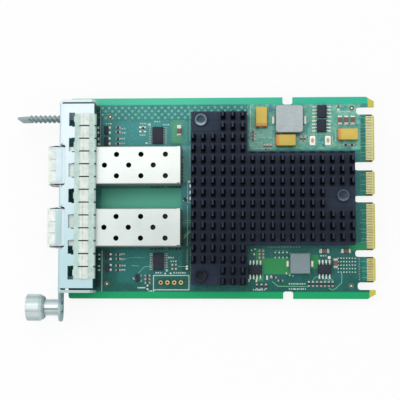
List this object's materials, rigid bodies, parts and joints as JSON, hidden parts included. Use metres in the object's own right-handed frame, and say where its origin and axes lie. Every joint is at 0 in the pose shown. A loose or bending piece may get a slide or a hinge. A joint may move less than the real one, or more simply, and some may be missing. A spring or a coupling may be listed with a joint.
{
  "type": "network interface card",
  "caption": "Mezzanine network card: green board with gold edge contacts, folded faceplate, transceiver cages, black pin heatsink, thumbscrew and pull tab.",
  "frame": {"origin": "on the faceplate's outer face, at the board's centre line across the card and at the board's component face in height", "axes": "+X from the faceplate towards the edge contacts, +Y across the card towards the pull tab, +Z out of the board's component face"},
  "size_m": [0.1336, 0.0845, 0.0173],
  "materials": {
    "solder_mask": "green solder mask over glass-fibre laminate",
    "gold_plate": "gold-plated copper",
    "faceplate_steel": "zinc-plated sheet steel",
    "gasket_metal": "nickel-plated spring strip",
    "cage_steel": "nickel-silver sheet",
    "connector_plastic": "moulded black plastic",
    "black_anodised": "black anodised aluminium",
    "screw_steel": "nickel-plated steel",
    "standoff_brass": "turned brass",
    "chip_mould": "moulded epoxy",
    "thermal_pad": "soft grey gap pad",
    "ferrite_grey": "pressed metal powder",
    "tin_plate": "tinned copper",
    "tantalum_case": "yellow moulded case",
    "capacitor_ceramic": "fired ceramic",
    "resistor_film": "glazed ceramic",
    "led_package": "dark clear resin",
    "turned_nickel": "nickel-plated turned steel",
    "tab_plastic": "moulded grey plastic",
    "film_black": "formed polyester film"
  },
  "bodies": {
    "card": {"circuit_board": "solder_mask", "edge_contacts": "gold_plate", "faceplate": "faceplate_steel", "top_gasket": "gasket_metal", "bottom_gasket": "gasket_metal", "faceplate_screws": "screw_steel", "port_1_cage": "cage_steel", "port_2_cage": "cage_steel", "port_1_collar": "cage_steel", "port_2_collar": "cage_steel", "port_1_connector": "connector_plastic", "port_2_connector": "connector_plastic", "connector_contacts": "gold_plate", "heatsink": "black_anodised", "heatsink_screws": "screw_steel", "heatsink_standoffs": "standoff_brass", "controller_chip": "chip_mould", "thermal_pad": "thermal_pad", "large_inductor": "ferrite_grey", "small_inductor": "ferrite_grey", "inductor_terminals": "tin_plate", "tantalum_capacitors": "tantalum_case", "tantalum_terminals": "tin_plate", "regulator_chips": "chip_mould", "regulator_leads": "tin_plate", "interface_chips": "chip_mould", "interface_leads": "tin_plate", "ceramic_capacitors": "capacitor_ceramic", "ceramic_capacitor_ends": "tin_plate", "resistors": "resistor_film", "status_leds": "led_package", "transistor": "chip_mould", "thumbscrew_ferrule": "turned_nickel", "thumbscrew_spring": "turned_nickel", "pull_tab": "tab_plastic", "insulator_film": "film_black"},
    "screw_carrier": {"retaining_ring": "turned_nickel"},
    "thumbscrew": {"thumbscrew": "turned_nickel"}
  },
  "joints": [
    {"name": "thumbscrew_slide", "type": "slide", "parent": "card", "child": "screw_carrier", "axis": [1, 0, 0], "range_m": [0, 0.0035], "stiffness_N_per_m": 500, "springref_m": -0.001},
    {"name": "thumbscrew_turn", "type": "hinge", "parent": "screw_carrier", "child": "thumbscrew", "pos_m": [-0.006, -0.0413, 0.006], "axis": [1, 0, 0], "continuous": true}
  ]
}
